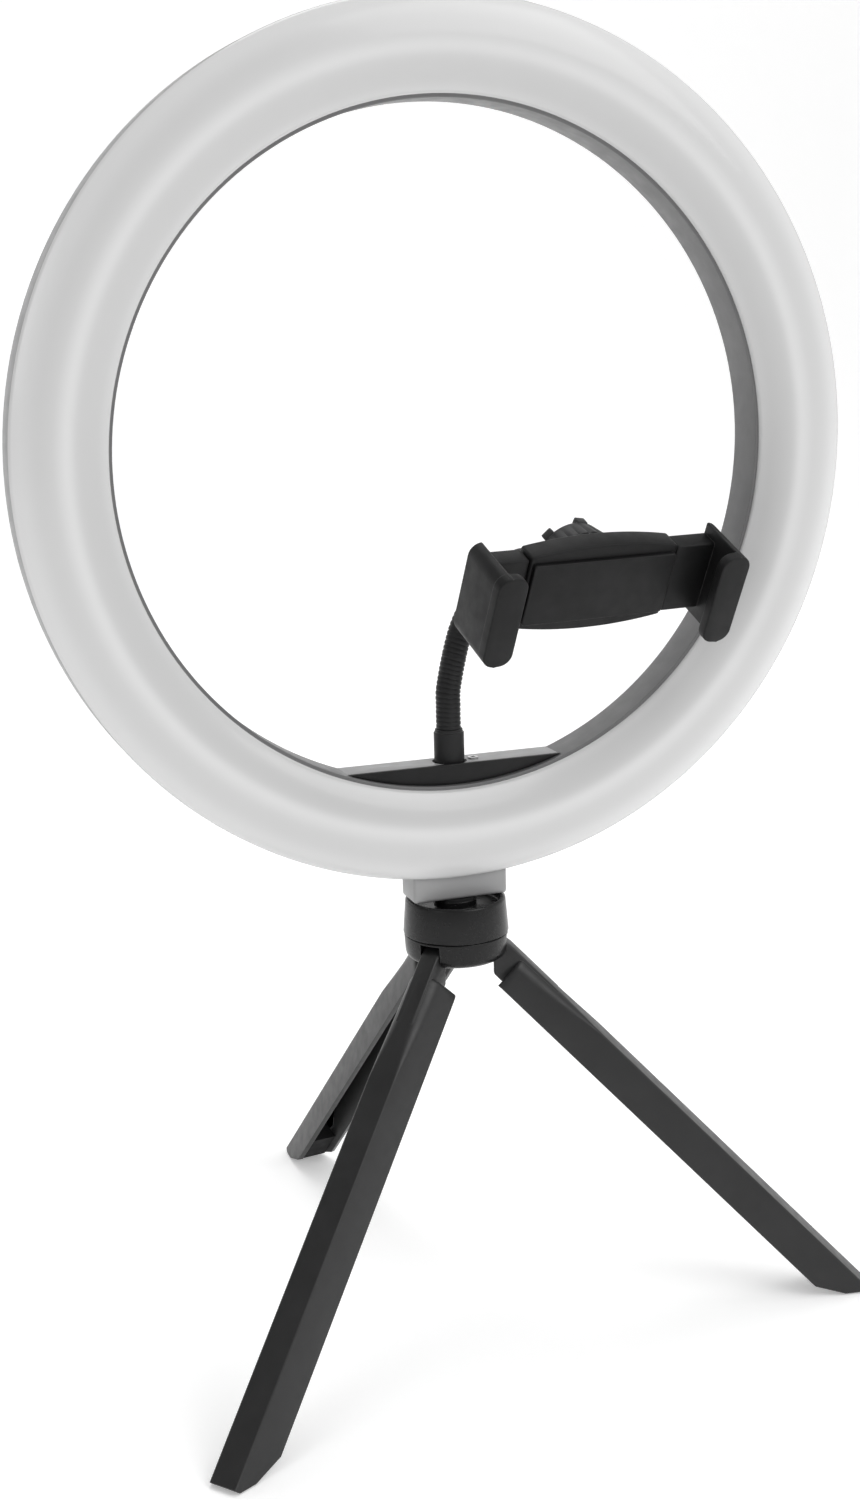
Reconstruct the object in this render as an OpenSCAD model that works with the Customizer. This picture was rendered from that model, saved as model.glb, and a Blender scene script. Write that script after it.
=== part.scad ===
// Tabletop ring light: annular lamp on a folding three-leg stand, with a gooseneck phone clamp.
// Units are millimetres.  +Z is up, the lamp faces -Y, and the stand's axis is the Z axis.
// The origin is on the floor under the stand's axis.

/* [Lamp ring] */
// Outside diameter of the lamp ring
ring_od = 260; // [200:1:320]
// Diameter of the opening through the lamp ring
ring_id = 202; // [150:1:260]
// Depth of the rear housing behind its seam with the diffuser
housing_depth = 15; // [10:0.5:25]
// Wall thickness of the rear housing
housing_wall = 2; // [1.2:0.1:3]
// How far the diffuser bulges in front of the seam
diffuser_rise = 5; // [2:0.5:8]
// Wall thickness of the diffuser
diffuser_wall = 1.6; // [1:0.1:3]
// Height of the ring's centre above the floor
ring_z = 273.3; // [220:0.1:330]
// Position of the seam between housing and diffuser along Y
seam_y = -6; // [-10:0.5:0]
// Height of the flat ledge above the bottom of the opening
ledge_rise = 6.1; // [4:0.1:10]
// Number of lamp diodes on the board
led_count = 60; // [24:12:120]

/* [Mounting block] */
// Width of the block under the ring
block_w = 30.8; // [20:0.5:40]
// Depth of the block along Y
block_d = 12; // [10:0.5:16]
// Height of the block's bottom face above the floor
block_z = 135.8; // [110:0.1:160]

/* [Stand] */
// Radius of the stand's hub at its seam
hub_r = 16.6; // [12:0.1:22]
// Height of the hub's seam above the floor
hub_seam_z = 124; // [100:0.5:150]
// Height of the cap above the seam
cap_h = 11.4; // [8:0.1:16]
// Height of the leg collar below the seam
collar_h = 8; // [6:0.1:14]
// Distance of each leg pin from the stand's axis
pin_ring_r = 11.5; // [8:0.1:14]
// Angle of each leg from the vertical when opened
leg_spread = 44; // [30:0.1:60]
// Direction of the first leg seen from above
leg_start = -141; // [-180:1:180]
// Width of a leg's outer face
leg_w = 9; // [6:0.5:14]
// Depth of a leg's channel section
leg_d = 11; // [7:0.5:14]
// Wall thickness of a leg
leg_wall = 1.8; // [1:0.1:3]

/* [Phone clamp] */
// Position of the middle of the clamp's front panel
clamp_pos = [36.9, -30, 233.2];
// Turn of the clamp about Z
clamp_yaw = 7; // [-45:1:45]
// Downward pitch of the clamp
clamp_pitch = 26; // [-45:1:45]
// Half width of the clamp's middle body
body_hw = 25; // [18:0.5:40]
// Half distance between the outer faces of the two jaws
jaw_out = 42.4; // [30:0.5:60]
// Half height of a jaw
jaw_hh = 15; // [10:0.5:20]
// Travel of each jaw
jaw_travel = 14; // [5:1:20]

/* [Gooseneck] */
// Radius of the flexible hose
hose_r = 3.85; // [3:0.05:6]
// Radius of the root sleeve
sleeve_r = 4.7; // [4:0.1:7]
// Radius of the ball
ball_r = 6; // [4:0.5:9]

/* [Hidden] */
$fn = 96;
ring_r = ring_od / 2;
open_r = ring_id / 2;
mid_r = (ring_r + open_r) / 2;
gap = 0.3;
ledge_y = -open_r + ledge_rise;
pin_z = hub_seam_z - 4.4;
leg_out = hub_r - 1 - pin_ring_r;
leg_len = (pin_z + leg_out * sin(leg_spread)) / cos(leg_spread);
stud_r = 3.175;
root_s = -8.4;
root_y = seam_y - root_s;
sleeve_top = 188.7;
hose_0 = [0, root_y, sleeve_top + 0.25];
hose_1 = [0.6, 2.6, 203];
hose_2 = [5.5, 3.8, 219.5];
hose_3 = [14.5, 7.2, 231.5];
ball_dir = [-0.45, 0.88, -0.1];
ball_back = 17;
clamp_fwd = [sin(clamp_yaw) * cos(clamp_pitch), -cos(clamp_yaw) * cos(clamp_pitch), -sin(clamp_pitch)];
ball_c = clamp_pos - ball_back * clamp_fwd;
tip_a = ball_c + 13 * ball_dir;
tip_b = ball_c + 21 * ball_dir;
foot_r = pin_ring_r + leg_out * cos(leg_spread) + leg_len * sin(leg_spread);
leg_tan = tan(16);
screw_angles = [30, 90, 150, 210, 330];
board_s = -8.6;

// ---------- shared shapes ----------

// Local X is right, local Y is up and local Z points forward out of the lamp.
module ring_frame() {
  translate([0, seam_y, ring_z]) rotate([90, 0, 0]) children();
}

module clamp_frame() {
  translate(clamp_pos) rotate([90 + clamp_pitch, 0, clamp_yaw]) children();
}

// Local X points out along the leg's direction, local Z is up and the origin is on the leg's pin.
module leg_frame(k, spread = leg_spread) {
  rotate([0, 0, leg_start + 120 * k])
    translate([pin_ring_r, 0, pin_z])
      rotate([0, -spread, 0])
        children();
}

module along(a, b) {
  d = b - a;
  translate(a) rotate([0, acos(d[2] / norm(d)), atan2(d[1], d[0])]) children();
}

module round_rect(w, h, r) {
  square([w - 2 * r, h], center = true);
  square([w, h - 2 * r], center = true);
  for (x = [-1, 1], y = [-1, 1])
    translate([x * (w / 2 - r), y * (h / 2 - r)]) circle(r = r);
}

// ---------- lamp ring ----------

module housing_section(out, inn, back, round_out, round_in) {
  difference() {
    translate([inn, back]) square([out - inn, -back]);
    translate([out - round_out, back]) difference() {
      square([round_out + 1, round_out]);
      translate([0, round_out]) circle(r = round_out);
    }
    translate([inn - 1, back]) difference() {
      square([round_in + 1, round_in]);
      translate([round_in + 1, round_in]) circle(r = round_in);
    }
  }
}

module rear_housing() color([0.62, 0.62, 0.63]) {
  w = housing_wall;
  difference() {
    union() {
      ring_frame() {
        rotate_extrude($fn = 180) difference() {
          housing_section(ring_r, open_r, -housing_depth, 5.4, 1.75);
          translate([0, 0.01])
            housing_section(ring_r - w, open_r + w, -housing_depth + w, 3.4, 0.5);
        }
        for (a = screw_angles) rotate([0, 0, a])
          translate([mid_r, 0, -housing_depth + 1]) cylinder(r = 3, h = board_s + housing_depth - 1);
        intersection() {
          translate([0, 0, -14.2]) cylinder(r = open_r + 1, h = 11);
          translate([-60, ledge_y - 20, -15]) cube([120, 20, 15]);
        }
      }
      translate([0, 0.5, block_z]) linear_extrude(ring_z - ring_r + 1.7 - block_z)
        round_rect(block_w, block_d, 1.2);
    }
    ring_frame() {
      for (a = screw_angles) rotate([0, 0, a]) translate([mid_r, 0, -housing_depth - 1]) {
        cylinder(r = 1.15, h = 20);
        cylinder(r = 2.6, h = 2.6);
      }
      rotate([0, 0, -75]) translate([mid_r, 0, -housing_depth - 1]) cylinder(r = 3.05, h = 5);
    }
    translate([0, root_y, ring_z + ledge_y]) {
      translate([0, 0, -5]) cylinder(r = sleeve_r + 0.05, h = 10);
      translate([0, 0, -1.2]) cylinder(r = sleeve_r + 0.7, h = 10);
      translate([7.8, 0, -4]) cylinder(r = 1.05, h = 6);
      translate([7.8, 0, -0.8]) cylinder(r = 1.75, h = 6);
    }
    translate([0, 0, block_z - 1]) cylinder(r = 4.8, h = 10.3);
  }
}

module diffuser() color([0.92, 0.92, 0.92]) {
  half = mid_r - open_r - 1.1;
  rise = diffuser_rise - 1;
  arc_r = (half * half + rise * rise) / (2 * rise);
  ring_frame() rotate_extrude($fn = 180) difference() {
    union() {
      intersection() {
        translate([mid_r + 0.5, diffuser_rise - arc_r]) circle(r = arc_r, $fn = 360);
        translate([open_r + 1.1, 0.1]) square([ring_r - open_r - 1.2, 9]);
      }
      translate([open_r + 2.1, -2.5]) square([1.6, 2.9]);
      translate([ring_r - 3.7, -2.5]) square([1.6, 2.9]);
    }
    intersection() {
      translate([mid_r + 0.5, diffuser_rise - arc_r]) circle(r = arc_r - diffuser_wall, $fn = 360);
      translate([open_r + 3.7, -3]) square([ring_r - open_r - 7.4, 12]);
    }
  }
}

module led_board() color([0.85, 0.86, 0.84])
  ring_frame() difference() {
    translate([0, 0, board_s]) cylinder(r = ring_r - 4.2, h = 1.4, $fn = 180);
    translate([0, 0, board_s - 1]) cylinder(r = open_r + 4.2, h = 4, $fn = 180);
    for (a = screw_angles) rotate([0, 0, a]) translate([mid_r, 0, board_s - 1]) cylinder(r = 1.2, h = 4);
  }

module leds() color([0.95, 0.9, 0.6])
  ring_frame() for (i = [0 : led_count - 1])
    rotate([0, 0, (i + 0.5) * 360 / led_count])
      translate([mid_r - 1.4, -1.75, board_s + 1.4]) cube([2.8, 3.5, 1.2]);

module housing_screws() color([0.3, 0.3, 0.32])
  ring_frame() for (a = screw_angles) rotate([0, 0, a]) translate([mid_r, 0, -housing_depth]) difference() {
    union() {
      translate([0, 0, 0.1]) cylinder(r = 2.4, h = 1.5);
      cylinder(r = 1.1, h = housing_depth + board_s + 2.2);
    }
    translate([0, 0, -1]) cylinder(r = 1.4, h = 1.9, $fn = 6);
  }

module cable_gland() color([0.12, 0.12, 0.12])
  ring_frame() rotate([0, 0, -75]) translate([mid_r, 0, -housing_depth]) difference() {
    union() {
      translate([0, 0, -1.6]) cylinder(r = 4.4, h = 1.6);
      cylinder(r = 3, h = 2.6);
    }
    translate([0, 0, -2]) cylinder(r = 1.6, h = 6);
  }

module chord_cover() color([0.08, 0.08, 0.08])
  ring_frame() intersection() {
    translate([0, 0, -3.15]) cylinder(r = open_r - 0.1, h = 1.45, $fn = 180);
    translate([-60, ledge_y - 19.7, -5]) cube([120, 20, 5]);
  }

module mount_insert() color([0.75, 0.62, 0.3])
  translate([0, 0, block_z + 0.2]) difference() {
    cylinder(r = 4.75, h = 9);
    translate([0, 0, -1]) cylinder(r = stud_r + 0.075, h = 11);
  }

// ---------- gooseneck ----------

module root_sleeve() color([0.1, 0.1, 0.1])
  translate([0, root_y, ring_z + ledge_y]) {
    translate([0, 0, -4.9]) cylinder(r = sleeve_r, h = sleeve_top - ring_z - ledge_y + 3.9);
    cylinder(r = sleeve_r - 0.4, h = sleeve_top - ring_z - ledge_y);
  }

module root_screw() color([0.7, 0.7, 0.7])
  translate([7.8, root_y, ring_z + ledge_y]) difference() {
    union() {
      translate([0, 0, -3.8]) cylinder(r = 1, h = 4);
      translate([0, 0, -0.75]) cylinder(r = 1.65, h = 1.3);
    }
    translate([0, 0, -0.2]) cylinder(r = 0.9, h = 2, $fn = 6);
  }

// A hose link runs from one bend centre to the next, with a cup below and a ball above.
module hose_link(a, b, cup = true, ball = true) color([0.16, 0.16, 0.16]) {
  difference() {
    along(a, b) cylinder(r = hose_r, h = norm(b - a));
    if (cup) translate(a) sphere(r = hose_r + gap);
  }
  if (ball) translate(b) sphere(r = hose_r - 0.05);
}

module hose_base() hose_link(hose_0, hose_1, cup = false);

module hose_lower() hose_link(hose_1, hose_2);

module hose_upper() hose_link(hose_2, hose_3);

module hose_tip() color([0.16, 0.16, 0.16]) difference() {
  along(hose_3, tip_b) cylinder(r = hose_r, h = norm(tip_b - hose_3) - 4.45);
  translate(hose_3) sphere(r = hose_r + gap);
}

module tip_ferrule() color([0.1, 0.1, 0.1]) {
  len = norm(tip_a - tip_b);
  along(tip_b, tip_a) rotate_extrude() difference() {
    intersection() {
      translate([0, -5]) square([5, len + 5]);
      union() {
        circle(r = 4.4);
        square([4.1, len]);
      }
    }
    translate([0, len - 6.5]) square([2.05, 8]);
  }
}

module ball_stud() color([0.7, 0.7, 0.72]) {
  translate(ball_c) sphere(r = ball_r);
  along(ball_c, tip_a) {
    cylinder(r = 2, h = norm(tip_a - ball_c) + 6);
    translate([0, 0, norm(tip_a - ball_c) - 1.5]) cylinder(r = 3.6, h = 1.45, $fn = 6);
  }
}

// ---------- phone clamp ----------

module collar_nut() color([0.14, 0.14, 0.14])
  clamp_frame() difference() {
    union() {
      translate([0, 0, -ball_back - 3.6]) cylinder(r1 = 11, r2 = 12.8, h = 8.6);
      for (i = [0 : 5]) rotate([0, 0, 60 * i + 20])
        translate([9.3, -1.8, -ball_back - 5.5]) cube([2.2, 3.6, 3]);
    }
    translate([0, 0, -ball_back - 2.6]) cylinder(r = 9.05, h = 9);
    translate([0, 0, -ball_back - 6]) cylinder(r = 6.6, h = 6);
    for (i = [0 : 23]) rotate([0, 0, 15 * i])
      translate([12.9, 0, -ball_back - 2.6]) cylinder(r = 0.9, h = 9, $fn = 24);
  }

module clamp_back() color([0.1, 0.1, 0.1])
  clamp_frame() difference() {
    union() {
      translate([0, 0, -10.6]) cylinder(r = 12, h = 1.55);
      translate([0, 0, -ball_back - 2.5]) cylinder(r = 9, h = ball_back - 7);
    }
    translate([0, 0, -ball_back]) sphere(r = ball_r + gap);
  }

module body_outline(end_h, mid_h) {
  bulge = mid_h - end_h;
  arc_r = (body_hw * body_hw + bulge * bulge) / (2 * bulge);
  intersection() {
    square([2 * body_hw, 4 * mid_h], center = true);
    translate([0, mid_h - arc_r]) circle(r = arc_r, $fn = 360);
    translate([0, arc_r - mid_h]) circle(r = arc_r, $fn = 360);
  }
}

module clamp_body() color([0.09, 0.09, 0.09])
  clamp_frame() difference() {
    translate([0, 0, -9]) linear_extrude(7.4) body_outline(12.3, 14.6);
    translate([-body_hw - 1, -9.1, -7.1]) cube([2 * body_hw + 2, 18.2, 3.8]);
    for (y = [-11.4, 11.4])
      translate([-14, y, -5.2]) rotate([0, 90, 0]) cylinder(r = 1.9, h = 28, $fn = 48);
  }

module clamp_panel() color([0.12, 0.12, 0.12])
  clamp_frame() translate([0, 0, -1.55]) linear_extrude(1.55) round_rect(2 * body_hw - 1.6, 20.6, 1);

module jaw() {
  mid = jaw_out - 4.8;
  translate([0, 0, -8.6]) linear_extrude(20.6) intersection() {
    translate([mid, 0]) round_rect(9.6, 2 * jaw_hh, 4);
    translate([jaw_out - 4, -20]) square([10, 40]);
  }
  translate([0, 0, 8.6]) linear_extrude(3.4)
    translate([mid, 0]) round_rect(9.6, 2 * jaw_hh, 4);
  translate([body_hw + gap, -11.5, -8.6]) cube([jaw_out - body_hw - 2.5, 23, 6.7]);
  translate([body_hw - 43, -8.8, -6.8]) cube([44, 8.2, 3.2]);
}

module jaw_right() color([0.11, 0.11, 0.11]) clamp_frame() jaw();

module jaw_left() color([0.11, 0.11, 0.11]) clamp_frame() rotate([0, 0, 180]) jaw();

module clamp_springs() color([0.6, 0.6, 0.6])
  clamp_frame() for (y = [-11.4, 11.4])
    translate([-12, y, -5.2]) rotate([0, 90, 0]) rotate_extrude($fn = 32) {
      translate([0.95, 0]) square([0.4, 24]);
      for (i = [0 : 19]) translate([1.3, 0.6 + 1.2 * i]) circle(r = 0.4, $fn = 16);
    }

// ---------- stand ----------

module hub_cap() color([0.09, 0.09, 0.09])
  difference() {
    rotate_extrude() {
      polygon([
        [0, hub_seam_z + 0.15],
        [hub_r - 0.4, hub_seam_z + 0.15],
        [hub_r, hub_seam_z + 0.6],
        [hub_r - 0.2, hub_seam_z + 2],
        [hub_r - 0.9, hub_seam_z + cap_h - 0.8],
        [hub_r - 1.2, hub_seam_z + cap_h - 0.1],
        [hub_r - 1.7, hub_seam_z + cap_h],
        [hub_r - 2.2, hub_seam_z + cap_h - 0.5],
        [hub_r - 2.6, hub_seam_z + cap_h - 2.8],
        [6.6, hub_seam_z + cap_h - 2.8],
        [6.6, hub_seam_z + cap_h - 0.4],
        [0, hub_seam_z + cap_h - 0.4]
      ]);
    }
    translate([0, 0, hub_seam_z - 1]) cylinder(r = stud_r + 0.025, h = 20);
    translate([0, 0, hub_seam_z - 1]) cylinder(r = 5.6, h = 5.2, $fn = 6);
  }

module hub_stud() color([0.75, 0.75, 0.76]) {
  translate([0, 0, hub_seam_z + 0.2]) cylinder(r = 5.5, h = 3.95, $fn = 6);
  translate([0, 0, hub_seam_z + 1]) cylinder(r = stud_r, h = 19.2);
  translate([0, 0, hub_seam_z + 20.2]) cylinder(r1 = stud_r, r2 = stud_r - 0.6, h = 0.6);
}

module friction_pad() color([0.2, 0.2, 0.2])
  translate([0, 0, hub_seam_z + cap_h - 0.4]) difference() {
    cylinder(r = 6.4, h = block_z - hub_seam_z - cap_h + 0.35);
    translate([0, 0, -1]) cylinder(r = stud_r + 0.1, h = 4);
  }

module leg_collar() color([0.09, 0.09, 0.09]) {
  low = hub_seam_z - collar_h;
  difference() {
    rotate_extrude() {
      translate([0, low]) square([hub_r - 3.4, collar_h]);
      translate([0, low + 2.6]) square([hub_r - 0.8, collar_h - 3]);
      translate([hub_r - 3.4, low + 2.6]) circle(r = 2.6);
      translate([0, hub_seam_z - 1]) square([hub_r - 0.3, 1]);
    }
    for (k = [0 : 2]) rotate([0, 0, leg_start + 120 * k]) {
      translate([7.7, -3.45, low - 1]) cube([20, 6.9, pin_z + 3.7 - low + 1]);
      translate([pin_ring_r, 10, pin_z]) rotate([90, 0, 0]) cylinder(r = 1.52, h = 20);
    }
    translate([0, 0, low - 1]) cylinder(r = 2.55, h = 20);
    translate([0, 0, low - 1]) cylinder(r = 4.4, h = 4.4);
  }
}

module collar_screw() color([0.5, 0.5, 0.5]) {
  low = hub_seam_z - collar_h;
  difference() {
    union() {
      translate([0, 0, low + 0.3]) cylinder(r = 4.2, h = 3.1);
      translate([0, 0, low + 1]) cylinder(r = 2.5, h = 7);
    }
    translate([0, 0, low - 1]) cylinder(r = 2.2, h = 3, $fn = 6);
  }
}

module leg_pins() color([0.6, 0.6, 0.62])
  for (k = [0 : 2]) rotate([0, 0, leg_start + 120 * k])
    translate([pin_ring_r, 8.4, pin_z]) rotate([90, 0, 0]) cylinder(r = 1.5, h = 16.8);

module channel_outline(inset = 0) {
  x0 = leg_out - inset;
  x1 = leg_out - leg_d;
  y0 = leg_w / 2 - inset / cos(16) + inset * leg_tan;
  y1 = leg_w / 2 + leg_d * leg_tan - inset / cos(16);
  polygon([[x0, -y0], [x0, y0], [x1, y1], [x1, -y1]]);
}

// What the floor and the bevel behind the foot cut from a leg, raised by lift.
module foot_cut(k, lift) {
  r = foot_r - 2;
  rotate([0, 0, leg_start + 120 * k]) rotate([90, 0, 0]) linear_extrude(60, center = true)
    translate([0, lift]) polygon([[r - 7, 0], [r - 19.6, 4.2], [r - 44, 12.3], [r - 44, -20],
      [r + 20, -20], [r + 20, 0]]);
}

module leg(k) color([0.1, 0.1, 0.1])
  difference() {
    leg_frame(k) {
      difference() {
        union() {
          translate([0, 0, -leg_len + 2.5]) linear_extrude(leg_len - 12) channel_outline();
          rotate([90, 0, 0]) linear_extrude(6.3, center = true) {
            circle(r = 3.4);
            polygon([[-3.4, 0], [leg_out - 0.7, 0], [leg_out, -4], [leg_out, -26], [leg_out - 2, -26],
              [-6.4, -22], [-6.4, -6.8], [-3.5, -3.9]]);
          }
        }
        difference() {
          translate([0, 0, -leg_len]) linear_extrude(leg_len) translate([-0.05, 0]) channel_outline(leg_wall);
          rotate([90, 0, 0]) linear_extrude(6.3, center = true)
            polygon([[-3.4, 0], [leg_out, 0], [leg_out, -26], [leg_out - 2, -26], [-6.4, -22],
              [-6.4, -6.8], [-3.5, -3.9]]);
        }
        rotate([90, 0, 0]) cylinder(r = 1.56, h = 10, center = true);
      }
    }
    foot_cut(k, 0.5);
  }

module foot(k) color([0.05, 0.05, 0.05])
  difference() {
    leg_frame(k) difference() {
      translate([0, 0, -leg_len + 3]) linear_extrude(24) translate([-0.1, 0]) channel_outline(leg_wall + 0.05);
      translate([leg_out - leg_d - 5, -10, -leg_len]) cube([6.5, 20, 40]);
    }
    foot_cut(k, 0);
  }

module leg_left() leg(0);

module leg_right() leg(1);

module leg_rear() leg(2);

module foot_left() foot(0);

module foot_right() foot(1);

module foot_rear() foot(2);

rear_housing();
diffuser();
led_board();
leds();
housing_screws();
cable_gland();
chord_cover();
mount_insert();
root_sleeve();
root_screw();
hose_base();
hose_lower();
hose_upper();
hose_tip();
tip_ferrule();
ball_stud();
collar_nut();
clamp_body();
clamp_back();
clamp_panel();
jaw_left();
jaw_right();
clamp_springs();
hub_cap();
hub_stud();
friction_pad();
leg_collar();
collar_screw();
leg_pins();
leg_left();
leg_right();
leg_rear();
foot_left();
foot_right();
foot_rear();
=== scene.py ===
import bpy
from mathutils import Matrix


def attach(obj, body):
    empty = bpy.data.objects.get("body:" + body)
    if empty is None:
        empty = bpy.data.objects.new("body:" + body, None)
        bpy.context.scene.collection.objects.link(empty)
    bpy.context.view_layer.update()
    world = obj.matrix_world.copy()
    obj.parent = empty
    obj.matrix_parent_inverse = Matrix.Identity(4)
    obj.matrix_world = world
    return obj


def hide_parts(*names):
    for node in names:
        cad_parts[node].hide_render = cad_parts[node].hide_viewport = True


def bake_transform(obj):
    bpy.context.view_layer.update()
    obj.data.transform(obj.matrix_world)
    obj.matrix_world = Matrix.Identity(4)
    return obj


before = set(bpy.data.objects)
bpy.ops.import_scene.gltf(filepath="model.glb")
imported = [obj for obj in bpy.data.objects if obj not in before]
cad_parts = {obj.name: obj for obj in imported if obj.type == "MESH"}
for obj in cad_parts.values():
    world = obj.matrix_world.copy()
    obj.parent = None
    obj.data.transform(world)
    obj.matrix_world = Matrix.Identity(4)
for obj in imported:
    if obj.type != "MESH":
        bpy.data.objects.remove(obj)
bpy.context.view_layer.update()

import math

import bmesh
import bpy
from mathutils import Euler, Matrix, Vector


# ---------- studio ----------
# The lamp stands on a pale floor that sweeps up into a pale wall.
# The camera stands a little to its left and above the phone clamp, looking slightly down.

camera = bpy.data.objects.new("camera", bpy.data.cameras.new("camera"))
bpy.context.scene.collection.objects.link(camera)
camera.location = (-0.2042, -0.5667, 0.3196)
camera.rotation_euler = [math.radians(turn) for turn in (77.166, 1.447, -19.505)]
camera.data.sensor_width = 36
camera.data.lens = 48
camera.data.clip_start = 0.01
bpy.context.scene.camera = camera
bpy.context.scene.view_settings.view_transform = "Standard"


def studio_light(name, place, aim, size, power):
    """A square soft box that points at aim."""
    lamp = bpy.data.lights.new(name, "AREA")
    lamp.size = size
    lamp.energy = power
    box = bpy.data.objects.new(name, lamp)
    box.location = place
    box.rotation_euler = (Vector(aim) - Vector(place)).to_track_quat("-Z", "Y").to_euler()
    bpy.context.scene.collection.objects.link(box)


studio_light("key_light", (0.9, -1.3, 1.5), (0, 0, 0.2), 1.3, 13)
studio_light("fill_light", (-1.6, -0.9, 0.9), (0, 0, 0.2), 0.8, 3)
studio_light("top_light", (0.1, 0.5, 1.9), (0, 0, 0.1), 1.0, 8)

world = bpy.data.worlds.new("studio_air")
world.use_nodes = True
air = world.node_tree
view = air.nodes.new("ShaderNodeTexCoord")
sides = air.nodes.new("ShaderNodeSeparateXYZ")
dimmer = air.nodes.new("ShaderNodeMapRange")
dimmer.inputs["From Min"].default_value = -0.9
dimmer.inputs["From Max"].default_value = 0.7
dimmer.inputs["To Min"].default_value = 0.24
dimmer.inputs["To Max"].default_value = 0.72
air.links.new(view.outputs["Generated"], sides.inputs["Vector"])
air.links.new(sides.outputs["X"], dimmer.inputs["Value"])
air.links.new(dimmer.outputs["Result"], air.nodes["Background"].inputs["Strength"])
air.nodes["Background"].inputs["Color"].default_value = (1, 1, 1, 1)
bpy.context.scene.world = world


def paint(name, tone, rough):
    """A material whose shader has this grey tone and roughness."""
    mat = bpy.data.materials.new(name)
    mat.use_nodes = True
    shader = mat.node_tree.nodes["Principled BSDF"]
    shader.inputs["Base Color"].default_value = (tone, tone, tone, 1)
    shader.inputs["Roughness"].default_value = rough
    return mat, mat.node_tree, shader


def grain(tree, size_mm, detail=2.0, stretch=(1, 1, 1)):
    """Noise with lumps of about size_mm, fixed to the piece."""
    place = tree.nodes.new("ShaderNodeTexCoord")
    mapping = tree.nodes.new("ShaderNodeMapping")
    mapping.inputs["Scale"].default_value = stretch
    noise = tree.nodes.new("ShaderNodeTexNoise")
    noise.inputs["Scale"].default_value = 1000 / size_mm
    noise.inputs["Detail"].default_value = detail
    tree.links.new(place.outputs["Object"], mapping.inputs["Vector"])
    tree.links.new(mapping.outputs["Vector"], noise.inputs["Vector"])
    return noise.outputs["Fac"]


def spread(tree, factor, low, high, start=0.3, end=0.7):
    """Maps a factor onto the span between two values."""
    span = tree.nodes.new("ShaderNodeMapRange")
    span.inputs["From Min"].default_value = start
    span.inputs["From Max"].default_value = end
    span.inputs["To Min"].default_value = low
    span.inputs["To Max"].default_value = high
    tree.links.new(factor, span.inputs["Value"])
    return span.outputs["Result"]


def emboss(tree, shader, height, strength, distance):
    """Presses a noise into the surface as relief."""
    bump = tree.nodes.new("ShaderNodeBump")
    bump.inputs["Strength"].default_value = strength
    bump.inputs["Distance"].default_value = distance
    tree.links.new(height, bump.inputs["Height"])
    tree.links.new(bump.outputs["Normal"], shader.inputs["Normal"])


def verts_of(made):
    """The vertices among the parts that an operator made."""
    return [v for v in made if isinstance(v, bmesh.types.BMVert)]


def floor_paint():
    """Matt pale paper with a faint fibre."""
    mat, tree, shader = paint("floor_paper", 0.9, 0.9)
    shader.inputs["Emission Color"].default_value = (1, 1, 1, 1)
    shader.inputs["Emission Strength"].default_value = 0.3
    emboss(tree, shader, grain(tree, 1.5), 0.03, 0.001)
    return mat


bm = bmesh.new()
edge = [bm.verts.new(corner) for corner in ((-4, -2.5, 0), (-4, 1.2, 0))]
bm.edges.new(edge)
sweep = bmesh.ops.spin(bm, geom=[edge[1]], cent=(-4, 1.2, 1), axis=(1, 0, 0), angle=math.pi / 2, steps=24)
rise = bmesh.ops.extrude_vert_indiv(bm, verts=verts_of(sweep["geom_last"]))
bmesh.ops.translate(bm, verts=rise["verts"], vec=(0, 0, 2.5))
paper = bmesh.ops.extrude_edge_only(bm, edges=bm.edges[:])
bmesh.ops.translate(bm, verts=verts_of(paper["geom"]), vec=(8, 0, 0))
bmesh.ops.remove_doubles(bm, verts=bm.verts, dist=0.0001)
bmesh.ops.recalc_face_normals(bm, faces=bm.faces)
floor_mesh = bpy.data.meshes.new("studio_floor")
bm.to_mesh(floor_mesh)
bm.free()
floor_mesh.shade_smooth()
floor_mesh.materials.append(floor_paint())
floor = bpy.data.objects.new("studio_floor", floor_mesh)
bpy.context.scene.collection.objects.link(floor)


# ---------- front diffuser ----------
# A ring of milky acrylic that snaps into the rear housing and spreads the light.
# It is injection moulded with a soft crown and polished outside; rings of tone around its axis are painted highlight
# and shade bands.

RING_Z = 273.3
RING_CENTRE = (0, 0, RING_Z)
SEAM_Y = -6


def corner_round(bm, vert, radius, steps=4):
    """Eases one corner of a flat section."""
    if radius > 0:
        bmesh.ops.bevel(bm, geom=[vert], offset=radius, offset_type="OFFSET", affect="VERTICES",
                        segments=steps, profile=0.5, material=-1)


def turned(bm, section, centre, axis, steps):
    """Spins a closed section of ((x, y, z), easing) corners into a closed turned shell."""
    corners = [bm.verts.new(point) for point, _ in section]
    bm.faces.new(corners)
    for vert, (_, easing) in zip(corners, section):
        corner_round(bm, vert, easing)
    bm.faces.ensure_lookup_table()
    face = bm.faces[-1]
    edges = list(face.edges)
    verts = list(face.verts)
    bmesh.ops.delete(bm, geom=[face], context="FACES_ONLY")
    bmesh.ops.spin(bm, geom=verts + edges, cent=centre, axis=axis, angle=2 * math.pi, steps=steps,
                   use_merge=True)
    bmesh.ops.remove_doubles(bm, verts=bm.verts, dist=0.0005)


def make_piece(name, bm, material):
    """Turns a mesh drawn in millimetres into a smooth object, in metres."""
    bmesh.ops.recalc_face_normals(bm, faces=bm.faces)
    bmesh.ops.scale(bm, vec=(0.001, 0.001, 0.001), verts=bm.verts)
    mesh = bpy.data.meshes.new(name)
    bm.to_mesh(mesh)
    bm.free()
    mesh.shade_smooth()
    mesh.materials.append(material)
    made = bpy.data.objects.new(name, mesh)
    bpy.context.scene.collection.objects.link(made)
    return made


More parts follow.
